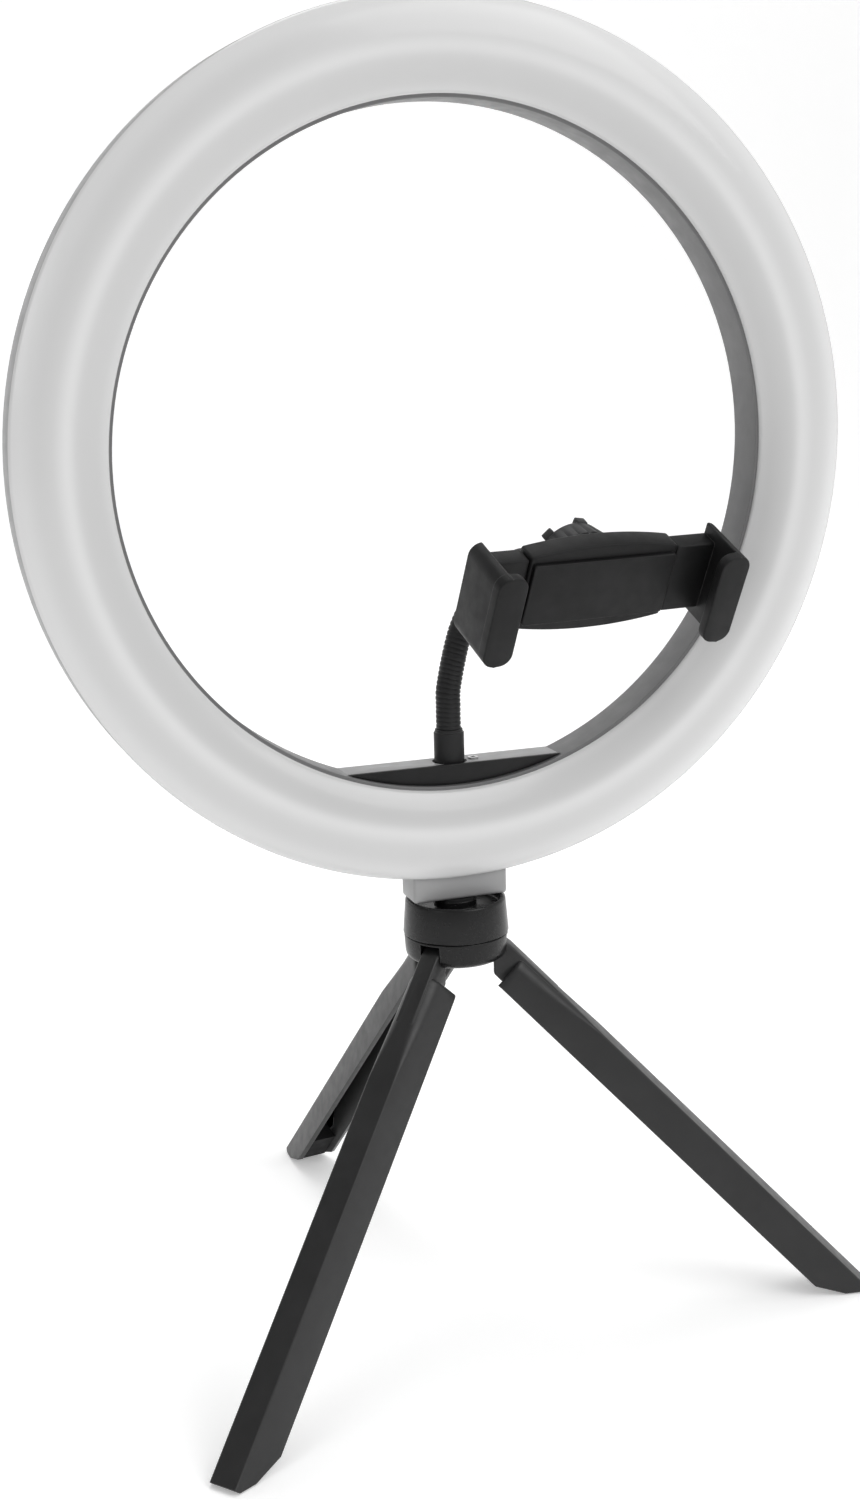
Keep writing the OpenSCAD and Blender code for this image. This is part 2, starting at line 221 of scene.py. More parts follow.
def finish_piece(name, bm, material, body, slot, *nodes, crease=35, merge=0.002):
    """Makes a piece, creased where it is sharper than an angle, and puts it on its body."""
    bmesh.ops.remove_doubles(bm, verts=bm.verts, dist=merge)
    made = make_piece(name, bm, material)
    made.data.set_sharp_from_angle(angle=math.radians(crease))
    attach(made, body)
    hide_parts(*nodes)


def ring_reach(tree):
    """The distance from the ring's axis, in metres."""
    place = tree.nodes.new("ShaderNodeTexCoord")
    centre = tree.nodes.new("ShaderNodeMapping")
    centre.inputs["Location"].default_value = (0, 0, -RING_Z / 1000)
    flat = tree.nodes.new("ShaderNodeVectorMath")
    flat.operation = "MULTIPLY"
    flat.inputs[1].default_value = (1, 0, 1)
    reach = tree.nodes.new("ShaderNodeVectorMath")
    reach.operation = "LENGTH"
    tree.links.new(place.outputs["Object"], centre.inputs["Vector"])
    tree.links.new(centre.outputs["Vector"], flat.inputs[0])
    tree.links.new(flat.outputs["Vector"], reach.inputs[0])
    return reach.outputs["Value"]


def milky_acrylic():
    """Milky acrylic under a polished skin, with painted highlight and shade bands in rings around the ring's axis."""
    mat, tree, shader = paint("milky_acrylic", 0.7, 0.27)
    across = tree.nodes.new("ShaderNodeMapRange")
    across.inputs["From Min"].default_value = 0.1005
    across.inputs["From Max"].default_value = 0.1305
    # Painted highlight and shade: lighter and darker rings of base colour by distance from the ring's axis.
    painted_bands = tree.nodes.new("ShaderNodeValToRGB")
    painted_bands.color_ramp.interpolation = "B_SPLINE"
    stops = [(0.0, 0.60), (0.07, 0.66), (0.16, 0.57), (0.30, 0.58), (0.38, 0.60), (0.45, 0.74), (0.52, 0.70),
             (0.60, 0.62), (0.72, 0.62), (0.80, 0.66), (0.88, 0.72), (1.0, 0.74)]
    while len(painted_bands.color_ramp.elements) < len(stops):
        painted_bands.color_ramp.elements.new(0.5)
    for element, (position, tone) in zip(painted_bands.color_ramp.elements, stops):
        element.position = position
        element.color = (tone, tone, tone, 1)
    tree.links.new(ring_reach(tree), across.inputs["Value"])
    tree.links.new(across.outputs["Result"], painted_bands.inputs["Fac"])
    tree.links.new(painted_bands.outputs["Color"], shader.inputs["Base Color"])
    emboss(tree, shader, grain(tree, 0.6, 2), 0.04, 0.00005)
    shader.inputs["Coat Weight"].default_value = 0.25
    shader.inputs["Coat Roughness"].default_value = 0.1
    return mat


def refinish(material, *nodes):
    """Gives carried-over parts their finish."""
    for node in nodes:
        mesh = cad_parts[node].data
        mesh.materials.clear()
        mesh.materials.append(material)


def mixed(tree, factor, first, second):
    """Mixes a colour, or another node's colour, with a second colour."""
    mix = tree.nodes.new("ShaderNodeMix")
    mix.data_type = "RGBA"
    if isinstance(first, tuple):
        mix.inputs["A"].default_value = (*first, 1)
    else:
        tree.links.new(first, mix.inputs["A"])
    mix.inputs["B"].default_value = (*second, 1)
    tree.links.new(factor, mix.inputs["Factor"])
    return mix.outputs["Result"]


def mottled(name, dark, light, size_mm, rough, metallic=0.0):
    """A finish that drifts between two colours in patches of about size_mm."""
    mat, tree, shader = paint(name, 0.5, rough)
    tone = mixed(tree, spread(tree, grain(tree, size_mm, 3), 0, 1), dark, light)
    tree.links.new(tone, shader.inputs["Base Color"])
    shader.inputs["Metallic"].default_value = metallic
    return mat


bm = bmesh.new()
DOME_CENTRE = Vector((116, SEAM_Y + 19.445, RING_Z))
DOME_R = 24.445
dome = bm.verts.new((102.1, SEAM_Y - 0.66, RING_Z))
half_turn = 2 * math.asin(13.9 / DOME_R)
arc = bmesh.ops.spin(bm, geom=[dome], cent=DOME_CENTRE, axis=(0, 0, 1), angle=half_turn, steps=28)
for start in ([dome], verts_of(arc["geom_last"])):
    rim = bmesh.ops.extrude_vert_indiv(bm, verts=start)["verts"]
    bmesh.ops.translate(bm, verts=rim, vec=(0, 1.6, 0))
bmesh.ops.spin(bm, geom=bm.verts[:] + bm.edges[:], cent=RING_CENTRE, axis=(0, 1, 0), angle=2 * math.pi, steps=200,
               use_merge=True)
bmesh.ops.remove_doubles(bm, verts=bm.verts, dist=0.001)
bmesh.ops.recalc_face_normals(bm, faces=bm.faces)
bmesh.ops.solidify(bm, geom=bm.faces[:], thickness=1.2)
finish_piece("front_diffuser", bm, milky_acrylic(), "lamp", "diffuser", "diffuser", crease=60)
refinish(mottled("board_white", (0.62, 0.64, 0.62), (0.72, 0.74, 0.71), 6, 0.45), "led_board")
refinish(mottled("diode_yellow", (0.7, 0.55, 0.16), (0.8, 0.68, 0.3), 1.2, 0.35), "leds")


# ---------- rear housing ----------
# The lamp's grey back shell, with the ledge for the gooseneck and the block that takes the stand.
# One injection moulding in polycarbonate and ABS blend, with five counterbored screw holes in its back.
# The wall of the ring's opening is painted darker than the rest, as painted shade.

RING_R = 130
OPEN_R = 101
BACK_Y = 9
MID_R = 115.5
LEDGE_Z = 178.4
ROOT_Y = 2.4
LEDGE_R = 101.6
BLOCK_Z = 135.8
BLOCK_HW = 15.4
# Distances from the ring's axis over which the painted shade on the opening's wall fades out.
OPENING_SHADE_SPAN = (0.1016, 0.1030)
SCREW_ANGLES = (30, 90, 150, 210, 330)
GLAND_ANGLE = -75


def on_ring(angle, radius, y):
    """A point of the ring, with the angle counted from its right-hand side."""
    turn = math.radians(angle)
    return Vector((radius * math.cos(turn), y, RING_Z + radius * math.sin(turn)))


def ease_edges(bm, width, steps=3, sharper=30):
    """Rounds every edge of a solid that is sharper than this many degrees."""
    edges = [e for e in bm.edges if len(e.link_faces) == 2 and e.calc_face_angle() > math.radians(sharper)]
    bmesh.ops.bevel(bm, geom=edges, offset=width, offset_type="OFFSET", affect="EDGES", segments=steps, profile=0.5,
                    material=-1, clamp_overlap=True)


def add_box(bm, low, high, place=None):
    """Adds a box between two corners."""
    low, high = Vector(low), Vector(high)
    made = bmesh.ops.create_cube(bm, size=1)["verts"]
    bmesh.ops.scale(bm, vec=high - low, verts=made)
    bmesh.ops.translate(bm, vec=(high + low) / 2, verts=made)
    if place is not None:
        bmesh.ops.transform(bm, matrix=place, verts=made)


def add_rod(bm, base, direction, radius, length, sides=32):
    """Adds a round rod."""
    turn = Vector(direction).to_track_quat("Z", "Y").to_matrix().to_4x4()
    place = Matrix.Translation(base) @ turn @ Matrix.Translation((0, 0, length / 2))
    bmesh.ops.create_cone(bm, cap_ends=True, segments=sides, radius1=radius, radius2=radius, depth=length,
                          matrix=place)


def carve(bm, cutter):
    """Cuts a solid with another and returns what is left."""
    pair = []
    for source in (bm, cutter):
        bmesh.ops.recalc_face_normals(source, faces=source.faces)
        mesh = bpy.data.meshes.new("carving")
        source.to_mesh(mesh)
        source.free()
        pair.append(bpy.data.objects.new("carving", mesh))
        bpy.context.scene.collection.objects.link(pair[-1])
    cut = pair[0].modifiers.new("cut", "BOOLEAN")
    cut.operation = "DIFFERENCE"
    cut.solver = "EXACT"
    cut.object = pair[1]
    result = bmesh.new()
    result.from_object(pair[0], bpy.context.evaluated_depsgraph_get())
    for made in pair:
        mesh = made.data
        bpy.data.objects.remove(made)
        bpy.data.meshes.remove(mesh)
    return result


def thicken(bm, way):
    """Extrudes a flat face along the way into a solid."""
    deep = bmesh.ops.extrude_face_region(bm, geom=bm.faces[:])
    bmesh.ops.translate(bm, vec=way, verts=verts_of(deep["geom"]))
    bmesh.ops.recalc_face_normals(bm, faces=bm.faces)


def crescent(radius, front_y, top_z, depth, easing):
    """The foot of an upright disc, cut level at the top, with eased edges."""
    bm = bmesh.new()
    disc = bmesh.ops.create_circle(bm, cap_ends=True, segments=240, radius=radius)["verts"]
    upright = Matrix.Translation((0, front_y, RING_Z)) @ Matrix.Rotation(math.pi / 2, 4, "X")
    bmesh.ops.transform(bm, matrix=upright, verts=disc)
    bmesh.ops.bisect_plane(bm, geom=bm.verts[:] + bm.edges[:] + bm.faces[:], plane_co=(0, 0, top_z),
                           plane_no=(0, 0, 1), clear_outer=True)
    thicken(bm, (0, depth, 0))
    ease_edges(bm, easing)
    return bm


def rubbed_and_highlit_edges(tree, radius):
    """Rises to 1 on edges, where a rounded normal leans away from the face's own; it marks lighter edges that are
    partly rubbed wear and partly painted highlight.
    """
    rim = tree.nodes.new("ShaderNodeBevel")
    rim.samples = 4
    rim.inputs["Radius"].default_value = radius
    true = tree.nodes.new("ShaderNodeNewGeometry")
    lean = tree.nodes.new("ShaderNodeVectorMath")
    lean.operation = "DOT_PRODUCT"
    tree.links.new(rim.outputs["Normal"], lean.inputs[0])
    tree.links.new(true.outputs["Normal"], lean.inputs[1])
    return spread(tree, lean.outputs["Value"], 1.0, 0.0, 0.80, 0.99)


def grey_moulding(name, opening_shade=1.0):
    """Grey blend: spark-eroded grain, a faint drift of tone, lighter edges that are partly rubbed wear and partly
    painted highlight, and painted shade on the wall of the opening.
    """
    mat, tree, shader = paint(name, 0.36, 0.42)
    drift = mixed(tree, spread(tree, grain(tree, 22, 5), 0, 1), (0.30, 0.30, 0.305), (0.345, 0.345, 0.345))
    # Lighter edges: partly rubbed wear, partly painted highlight.
    tone = mixed(tree, rubbed_and_highlit_edges(tree, 0.0005), drift, (0.47, 0.47, 0.47))
    # Painted shade: the grey is scaled down on the wall of the ring's opening.
    wall = tree.nodes.new("ShaderNodeVectorMath")
    wall.operation = "SCALE"
    tree.links.new(tone, wall.inputs[0])
    tree.links.new(spread(tree, ring_reach(tree), opening_shade, 1.0, *OPENING_SHADE_SPAN), wall.inputs["Scale"])
    tree.links.new(wall.outputs["Vector"], shader.inputs["Base Color"])
    tree.links.new(spread(tree, grain(tree, 5, 3), 0.36, 0.5), shader.inputs["Roughness"])
    emboss(tree, shader, grain(tree, 0.45, 2), 0.12, 0.0001)
    return mat


housing_grey = grey_moulding("housing_grey")

bm = bmesh.new()
turned(bm, [((OPEN_R, SEAM_Y, RING_Z), 0.25), ((OPEN_R, BACK_Y, RING_Z), 1.75), ((RING_R, BACK_Y, RING_Z), 5.4),
            ((RING_R, SEAM_Y, RING_Z), 0.25), ((128, SEAM_Y, RING_Z), 0.25), ((128, 7, RING_Z), 3.4),
            ((103, 7, RING_Z), 0.5), ((103, SEAM_Y, RING_Z), 0.25)], RING_CENTRE, (0, 1, 0), steps=200)
holes = bmesh.new()
for angle in SCREW_ANGLES:
    add_rod(holes, on_ring(angle, MID_R, BACK_Y + 1), (0, -1, 0), 2.6, 2.6, 40)
add_rod(holes, on_ring(GLAND_ANGLE, MID_R, BACK_Y + 1), (0, -1, 0), 3.05, 5, 40)
# The shell's opening wall gets painted shade, at 0.42 of its grey.
finish_piece("housing_shell", carve(bm, holes), grey_moulding("shell_grey_shaded_opening", 0.42), "lamp", "shell", "rear_housing",
             crease=40)

bm = crescent(LEDGE_R, -2.8, LEDGE_Z, 11, 0.5)
holes = bmesh.new()
add_rod(holes, (0, ROOT_Y, LEDGE_Z - 1.2), (0, 0, 1), 5.4, 4, 48)
add_rod(holes, (7.8, ROOT_Y, LEDGE_Z - 0.8), (0, 0, 1), 1.75, 4, 32)
finish_piece("housing_ledge", carve(bm, holes), housing_grey, "lamp", "shell", "rear_housing", crease=40)

bm = bmesh.new()
add_box(bm, (-BLOCK_HW, -5.5, BLOCK_Z), (BLOCK_HW, 6.5, 145))
ease_edges(bm, 1.1, 4)
holes = bmesh.new()
add_rod(holes, (0, 0, BLOCK_Z - 1), (0, 0, 1), 4.8, 10.3, 48)
finish_piece("housing_block", carve(bm, holes), housing_grey, "lamp", "shell", "rear_housing", crease=40)


# ---------- trim and fixings of the housing ----------
# A black crescent cover hides the ledge's front, and five screws hold the shell to the diodes' board.
# The cover is snapped in, the screws are zinc-nickel steel, and a rubber gland lines the cable's hole.


def black_moulding(name, low, high, rough_low, rough_high, grain_mm=0.4, relief=0.12, worn_and_highlit_tone=0.09,
                   shine=0.2):
    """Black moulding: fine spark grain, drift of tone and gloss, and slightly greyed edges, partly wear and partly
    painted highlight.
    """
    mat, tree, shader = paint(name, low, rough_low)
    shader.inputs["Specular IOR Level"].default_value = shine
    drift = mixed(tree, spread(tree, grain(tree, 14, 5), 0, 1), (low, low, low * 1.03), (high, high, high * 1.03))
    # Greyed edges: partly wear, partly painted highlight.
    tone = mixed(tree, rubbed_and_highlit_edges(tree, 0.0004), drift, (worn_and_highlit_tone, worn_and_highlit_tone, worn_and_highlit_tone))
    tree.links.new(tone, shader.inputs["Base Color"])
    tree.links.new(spread(tree, grain(tree, 4, 4), rough_low, rough_high), shader.inputs["Roughness"])
    emboss(tree, shader, grain(tree, grain_mm, 2), relief, 0.0001)
    return mat


def plated_steel(name, tone, rough):
    """Plated steel with fine turning marks and a cloudy sheen."""
    mat, tree, shader = paint(name, tone, rough)
    shader.inputs["Metallic"].default_value = 1.0
    tree.links.new(spread(tree, grain(tree, 3, 4), rough - 0.08, rough + 0.12), shader.inputs["Roughness"])
    emboss(tree, shader, grain(tree, 0.5, 2, (1, 1, 6)), 0.15, 0.00005)
    return mat


COVER_R = 100.85

trim_black = black_moulding("trim_black", 0.008, 0.014, 0.32, 0.42)
gland_rubber = black_moulding("gland_rubber", 0.012, 0.02, 0.6, 0.75, 0.7, 0.3, 0.03)
dark_screw = plated_steel("dark_screw", 0.16, 0.35)

bm = crescent(COVER_R, -4.3, LEDGE_Z + 0.3, 1.45, 0.3)
finish_piece("ledge_cover", bm, trim_black, "lamp", "black_plastic", "chord_cover", crease=50)


def on_back(angle, y):
    """Stands what points up on the ring's back, at this angle."""
    return Matrix.Translation(on_ring(angle, MID_R, y)) @ Matrix.Rotation(-math.pi / 2, 4, "X")


def socket_screw(bm, place, head_r, head_h, shank_r, shank_h, key_r, key_deep):
    """Adds a cap screw whose head's top is at the origin, pointing up, then puts it in place."""
    head = bmesh.ops.create_cone(bm, cap_ends=True, segments=24, radius1=head_r, radius2=head_r, depth=head_h,
                                 matrix=Matrix.Translation((0, 0, -head_h / 2)))["verts"]
    top = next(f for v in head for f in v.link_faces if f.calc_center_median().z > -0.001)
    inner = bmesh.ops.inset_individual(bm, faces=[top], thickness=head_r - key_r)
    for v in top.verts:
        turn = math.atan2(v.co.y, v.co.x) % (math.pi / 3)
        reach = key_r * math.cos(math.pi / 6) / math.cos(turn - math.pi / 6)
        v.co.xy = v.co.xy.normalized() * reach
    sunk = bmesh.ops.extrude_discrete_faces(bm, faces=[top])["faces"][0]
    bmesh.ops.translate(bm, vec=(0, 0, -key_deep), verts=sunk.verts)
    head = list({v for f in inner["faces"] for v in f.verts} | set(head) | set(sunk.verts))
    shank = bmesh.ops.create_cone(bm, cap_ends=True, segments=24, radius1=shank_r, radius2=shank_r, depth=shank_h,
                                  matrix=Matrix.Translation((0, 0, -head_h - shank_h / 2 + 0.05)))["verts"]
    bmesh.ops.transform(bm, matrix=place, verts=list(set(head + shank)))


bm = bmesh.new()
for angle in SCREW_ANGLES:
    socket_screw(bm, on_back(angle, BACK_Y - 0.1), 2.4, 1.5, 1.1, 6.5, 1.4, 0.8)
finish_piece("back_screws", bm, dark_screw, "lamp", "dark_steel", "housing_screws", crease=30, merge=0.0005)

bm = bmesh.new()
turned(bm, [((1.6, 0, -4), 0.2), ((3.0, 0, -4), 0.4), ((3.0, 0, 0), 0.15), ((4.4, 0, 0), 0.3), ((4.4, 0, 1.6), 0.9),
            ((1.6, 0, 1.6), 0.5)], (0, 0, 0), (0, 0, 1), steps=48)
bmesh.ops.transform(bm, matrix=on_back(GLAND_ANGLE, BACK_Y), verts=bm.verts)
finish_piece("gland", bm, gland_rubber, "lamp", "rubber", "cable_gland")
refinish(mottled("insert_brass", (0.55, 0.38, 0.13), (0.68, 0.5, 0.2), 1.5, 0.3, 1.0), "mount_insert")


# ---------- gooseneck ----------
# A flexible steel hose in a black skin, wound from strip, so that its turns show as fine ribs.
# It is glued into a plain sleeve in the ledge and crimped into the ball stud's ferrule at its end.

HOSE_R = 3.85
PITCH = 1.45
RIB_DEPTH = 0.55
RIB_STEPS = 7
HOSE_WAY = [Vector(point) for point in ((0, ROOT_Y, 186.9), (0, ROOT_Y, 195), (0.6, 2.6, 203), (5.5, 3.8, 219.5),
                                        (14.5, 7.2, 231.5), (20.6, 6.0, 237.2), (26.4, 2.1, 238.64))]
TIP_B = Vector((25.59, 3.65, 238.55))
TIP_A = Vector((29.19, -3.39, 239.35))

hose_black = black_moulding("hose_black", 0.012, 0.02, 0.38, 0.5, 0.5, 0.1, 0.07)
sleeve_black = black_moulding("sleeve_black", 0.014, 0.022, 0.4, 0.52)


def curve_through(points, step):
    """Points every step along a smooth curve through the given points."""
    ends = [points[0] * 2 - points[1]] + points + [points[-1] * 2 - points[-2]]
    fine = []
    for i in range(1, len(ends) - 2):
        a, b, c, d = ends[i - 1:i + 3]
        for k in range(60):
            t = k / 60
            fine.append(0.5 * (2 * b + (c - a) * t + (2 * a - 5 * b + 4 * c - d) * t * t
                               + (3 * b - a - 3 * c + d) * t ** 3))
    fine.append(points[-1])
    even, gone = [fine[0]], 0.0
    for a, b in zip(fine, fine[1:]):
        span = (b - a).length
        while gone + span >= step:
            a = a.lerp(b, (step - gone) / span)
            span = (b - a).length
            gone = 0.0
            even.append(a.copy())
        gone += span
    return even


def ribbed_tube(bm, way, first, radius, pitch, depth, step, sides=28):
    """Extrudes a ring along the way. Its radius swells in a helix, as strip wound on itself does."""
    ring = bmesh.ops.create_circle(bm, cap_ends=False, segments=sides, radius=radius)["verts"]
    shape = [v.co.copy() for v in ring]
    turn = (way[1] - way[0]).to_track_quat("Z", "Y")
    edges = list({e for v in ring for e in v.link_edges})
    heading = (way[1] - way[0]).normalized()
    for i, point in enumerate(way):
        ahead = (way[min(i + 1, len(way) - 1)] - way[max(i - 1, 0)]).normalized()
        turn = heading.rotation_difference(ahead) @ turn
        heading = ahead
        if i:
            grown = bmesh.ops.extrude_edge_only(bm, edges=edges)["geom"]
            ring = verts_of(grown)
            edges = [e for e in grown if isinstance(e, bmesh.types.BMEdge)
                     and all(v in ring for v in e.verts)]
        for v, flat in zip(ring, shape):
            around = math.atan2(flat.y, flat.x) / (2 * math.pi)
            phase = ((first + i) * step / pitch + around) % 1
            swell = math.sqrt(max(0.0, 1 - (2 * phase - 1) ** 4)) - 1
            v.co = point + turn @ (flat * (1 + depth * swell / radius))


hose_points = curve_through(HOSE_WAY, PITCH / RIB_STEPS)


def nearest(target):
    """The number of the hose point that is nearest to the target."""
    return min(range(len(hose_points)), key=lambda i: (hose_points[i] - Vector(target)).length)


hose_cuts = [0, nearest((3.0, 3.2, 211)), nearest((10.0, 5.5, 225.5)), len(hose_points) - 1]
for number, (bodies, node) in enumerate(zip((("lamp", "neck_lower"), ("neck_lower", "neck_upper"),
                                             ("neck_upper", "neck_tip")),
                                            (("hose_base", "hose_lower"), ("hose_upper",), ("hose_tip",)))):
    first, last = hose_cuts[number], hose_cuts[number + 1]
    bm = bmesh.new()
    ribbed_tube(bm, hose_points[first:last + 1], first, HOSE_R, PITCH, RIB_DEPTH, PITCH / RIB_STEPS)
    hose = make_piece("hose_%d" % (number + 1), bm, hose_black)
    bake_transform(hose)
    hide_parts(*node)

bm = bmesh.new()
turned(bm, [((3.5, ROOT_Y, 173.6), 0.3), ((4.7, ROOT_Y, 173.6), 0.4), ((4.7, ROOT_Y, 187.75), 0.35),
            ((4.3, ROOT_Y, 187.75), 0.1), ((4.3, ROOT_Y, 188.7), 0.3), ((3.5, ROOT_Y, 188.7), 0.1)],
       (0, ROOT_Y, 0), (0, 0, 1), steps=56)
finish_piece("hose_sleeve", bm, sleeve_black, "lamp", "black_plastic", "root_sleeve")

bm = bmesh.new()
socket_screw(bm, Matrix.Translation((7.8, ROOT_Y, LEDGE_Z + 0.52)), 1.65, 1.3, 1.0, 3, 0.9, 0.6)
finish_piece("clamping_screw", bm, plated_steel("bright_screw", 0.6, 0.28), "lamp", "steel", "root_screw", crease=30,
             merge=0.0005)

bm = bmesh.new()
turned(bm, [((0, 0, -4.1), 0), ((2.9, 0, -4.1), 1.2), ((4.2, 0, -1.5), 1.5), ((4.1, 0, 7.9), 0.5),
            ((2.05, 0, 7.9), 0.2), ((2.05, 0, 2), 0), ((0, 0, 2), 0)], (0, 0, 0), (0, 0, 1), steps=48)
tip_turn = (TIP_A - TIP_B).to_track_quat("Z", "Y").to_matrix().to_4x4()
bmesh.ops.transform(bm, matrix=Matrix.Translation(TIP_B) @ tip_turn, verts=bm.verts)
finish_piece("end_ferrule", bm, sleeve_black, "neck_tip", "black_plastic", "tip_ferrule")

ball_steel = plated_steel("ball_steel", 0.55, 0.25)
refinish(ball_steel, "ball_stud")


# ---------- ball socket and its nut ----------
# The clamp's back ends in a split socket for the ball; a fluted nut with six lugs squeezes it shut.
# Both are black glass-filled nylon, matt from the mould.

CLAMP_PLACE = Matrix.Translation((36.9, -30, 233.2)) @ Euler(
    (math.radians(116), 0, math.radians(7)), "XYZ").to_matrix().to_4x4()


def add_mesh(bm, other):
    """Adds a second mesh to the first and frees it."""
    lump = bpy.data.meshes.new("lump")
    other.to_mesh(lump)
    other.free()
    bm.from_mesh(lump)
    bpy.data.meshes.remove(lump)


FLUTE_STEP = 3.75
FLUTE_DEPTH = 0.75

clamp_black = black_moulding("clamp_black", 0.007, 0.012, 0.42, 0.54, 0.45, 0.16, 0.06)
nut_black = black_moulding("nut_black", 0.03, 0.045, 0.4, 0.55, 0.5, 0.2, 0.12)

bm = bmesh.new()
turned(bm, [((6.6, 0, -20.6), 0.4), ((11, 0, -20.6), 0.7), ((12.8, 0, -12), 0.5), ((9.05, 0, -12), 0.3),
            ((9.05, 0, -19.6), 0.2), ((6.6, 0, -19.6), 0.2)], (0, 0, 0), (0, 0, 1), steps=96)
for v in bm.verts:
    column = round(math.degrees(math.atan2(v.co.y, v.co.x)) / FLUTE_STEP) % 4
    if math.hypot(v.co.x, v.co.y) > 11.2 and -19.4 < v.co.z and column == 0:
        v.co.xy *= 1 - FLUTE_DEPTH / math.hypot(v.co.x, v.co.y)
for number in range(6):
    lug = bmesh.new()
    add_box(lug, (9.3, -1.8, -22.5), (11.5, 1.8, -19.5))
    ease_edges(lug, 0.4)
    turn = Matrix.Rotation(math.radians(60 * number + 20), 3, "Z")
    bmesh.ops.rotate(lug, cent=(0, 0, 0), matrix=turn, verts=lug.verts)
    add_mesh(bm, lug)
bmesh.ops.transform(bm, matrix=CLAMP_PLACE, verts=bm.verts)
finish_piece("fluted_nut", bm, nut_black, "nut", "clamp_plastic", "collar_nut", crease=45)

bm = bmesh.new()
turned(bm, [((0, 0, -9.05), 0), ((12, 0, -9.05), 0.4), ((12, 0, -10.6), 0.4), ((9, 0, -10.6), 0.3),
            ((9, 0, -19.5), 0.8), ((5.7, 0, -19.5), 0.3), ((6.35, 0, -17), 2.0), ((4.9, 0, -12.9), 1.5),
            ((0, 0, -10.65), 0)], (0, 0, 0), (0, 0, 1), steps=64)
bmesh.ops.transform(bm, matrix=CLAMP_PLACE, verts=bm.verts)
finish_piece("ball_socket", bm, clamp_black, "clamp", "clamp_plastic", "clamp_back")


# ---------- phone clamp ----------
# A hollow body with a flat front panel; two hooked jaws slide out of its ends against two springs.
# Every part is black ABS, moulded with eased edges; the panel is glued on.


def rounded_plate(bm, low, high, top, radius, steps=6):
    """Adds a flat face with rounded corners between two corners, at the height top."""
    face = bm.faces.new([bm.verts.new(corner) for corner in ((low[0], low[1], top), (high[0], low[1], top),
                                                             (high[0], high[1], top), (low[0], high[1], top))])
    for vert in face.verts[:]:
        corner_round(bm, vert, radius, steps)


BODY_HW = 25
BODY_HH = 12.3
BODY_BULGE = 2.3

bm = bmesh.new()
face = bm.faces.new([bm.verts.new(corner) for corner in ((-BODY_HW, -BODY_HH, -9), (BODY_HW, -BODY_HH, -9),
                                                         (BODY_HW, BODY_HH, -9), (-BODY_HW, BODY_HH, -9))])
long_edges = [e for e in face.edges if abs(e.verts[0].co.x - e.verts[1].co.x) > 1]
bmesh.ops.subdivide_edges(bm, edges=long_edges, cuts=23)
for v in bm.verts:
    v.co.y += math.copysign(BODY_BULGE * (1 - (v.co.x / BODY_HW) ** 2), v.co.y)
thicken(bm, (0, 0, 7.4))
ease_edges(bm, 0.8)
slots = bmesh.new()
for side in (-1, 1):
    add_box(slots, (side * 25.5 - 4, -9.1, -7.1), (side * 25.5 + 4, 9.1, -3.3))
bm = carve(bm, slots)
bmesh.ops.transform(bm, matrix=CLAMP_PLACE, verts=bm.verts)
finish_piece("grip_body", bm, clamp_black, "clamp", "clamp_plastic", "clamp_body", crease=40)

bm = bmesh.new()
rounded_plate(bm, (-24.2, -10.3), (24.2, 10.3), -1.58, 1)
thicken(bm, (0, 0, 1.58))
ease_edges(bm, 0.35)
bmesh.ops.transform(bm, matrix=CLAMP_PLACE, verts=bm.verts)
finish_piece("grip_panel", bm, clamp_black, "clamp", "clamp_plastic", "clamp_panel", crease=50)

for side, body in ((1, "jaw_right"), (-1, "jaw_left")):
    bm = bmesh.new()
    rounded_plate(bm, (32.8, -15), (42.4, 15), 12, 4, 7)
    bmesh.ops.bisect_plane(bm, geom=bm.verts[:] + bm.edges[:] + bm.faces[:], plane_co=(38.4, 0, 0),
                           plane_no=(1, 0, 0))
    hook = bmesh.ops.extrude_face_region(bm, geom=bm.faces[:])
    bmesh.ops.translate(bm, vec=(0, 0, -3.4), verts=verts_of(hook["geom"]))
    wall = bmesh.ops.extrude_face_region(bm, geom=[f for f in bm.faces if abs(f.calc_center_median().z - 8.6) < 0.01
                                                   and f.calc_center_median().x > 38.4])
    bmesh.ops.translate(bm, vec=(0, 0, -17.2), verts=verts_of(wall["geom"]))
    bmesh.ops.recalc_face_normals(bm, faces=bm.faces)
    bmesh.ops.dissolve_limit(bm, angle_limit=0.01, verts=bm.verts, edges=bm.edges)
    ease_edges(bm, 0.9, 4)
    for low, high in (((25.3, -11.5, -8.55), (39.9, 11.5, -1.9)), ((-18, -8.8, -6.8), (26, -0.6, -3.6))):
        arm = bmesh.new()
        add_box(arm, low, high)
        ease_edges(arm, 0.7)
        add_mesh(bm, arm)
    bmesh.ops.rotate(bm, cent=(0, 0, 0), matrix=Matrix.Rotation(0 if side > 0 else math.pi, 3, "Z"), verts=bm.verts)
    bmesh.ops.transform(bm, matrix=CLAMP_PLACE, verts=bm.verts)
    finish_piece("hooked_" + body, bm, clamp_black, body, "clamp_plastic", body, crease=40)

spring_steel = plated_steel("spring_steel", 0.5, 0.3)
refinish(spring_steel, "clamp_springs")


# ---------- hub ----------
# The stand's cap screws up against the block on a quarter-inch stud and sits on a collar that holds the legs.
# Cap and collar are black ABS with a satin polish; the stud, the pins and the screw are plated steel.

SEAM_Z = 124
HUB_R = 16.6
PIN_RING_R = 11.5
PIN_Z = SEAM_Z - 4.4
LEG_START = -141

hub_black = black_moulding("hub_black", 0.005, 0.009, 0.24, 0.32, 0.35, 0.06, 0.05, 0.3)

